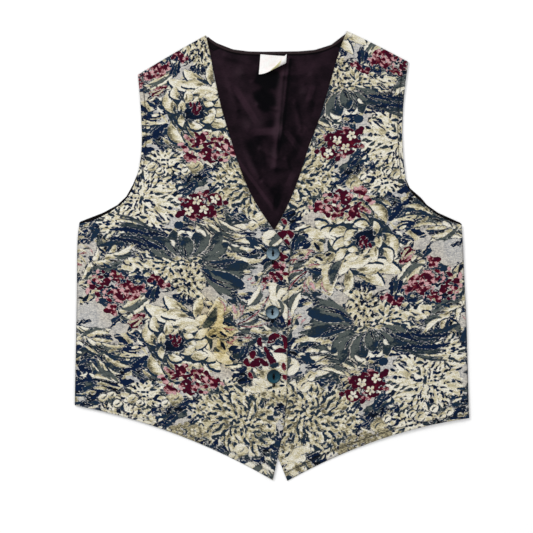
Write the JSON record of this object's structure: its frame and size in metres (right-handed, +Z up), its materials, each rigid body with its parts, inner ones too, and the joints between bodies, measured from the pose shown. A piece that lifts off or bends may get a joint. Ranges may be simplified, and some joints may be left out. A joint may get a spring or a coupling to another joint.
{
  "type": "tapestry waistcoat",
  "caption": "Buttoned waistcoat laid flat, with floral tapestry fronts in a V neck and pointed hem, a plain dark back with lining, and fish-eye buttons.",
  "frame": {"origin": "on the surface that the waistcoat lies on, under the middle of its box", "axes": "+Y runs up the garment to the neck, +X to the viewer's right, which is the wearer's left, and +Z up out of the fronts"},
  "size_m": [0.5122, 0.5844, 0.0155],
  "materials": {
    "back_cloth": "matt plum-black cloth",
    "lining": "soft satin, plum-black",
    "tapestry": "woven floral tapestry in cream, navy, grey-green and burgundy",
    "button": "polished slate-teal",
    "label_tape": "pale woven tape, blank"
  },
  "bodies": {
    "root": {"back": "back_cloth", "back_lining": "lining", "front_right": "tapestry", "front_left": "tapestry", "button_1": "button", "button_2": "button", "button_3": "button", "label": "label_tape"}
  },
  "joints": []
}
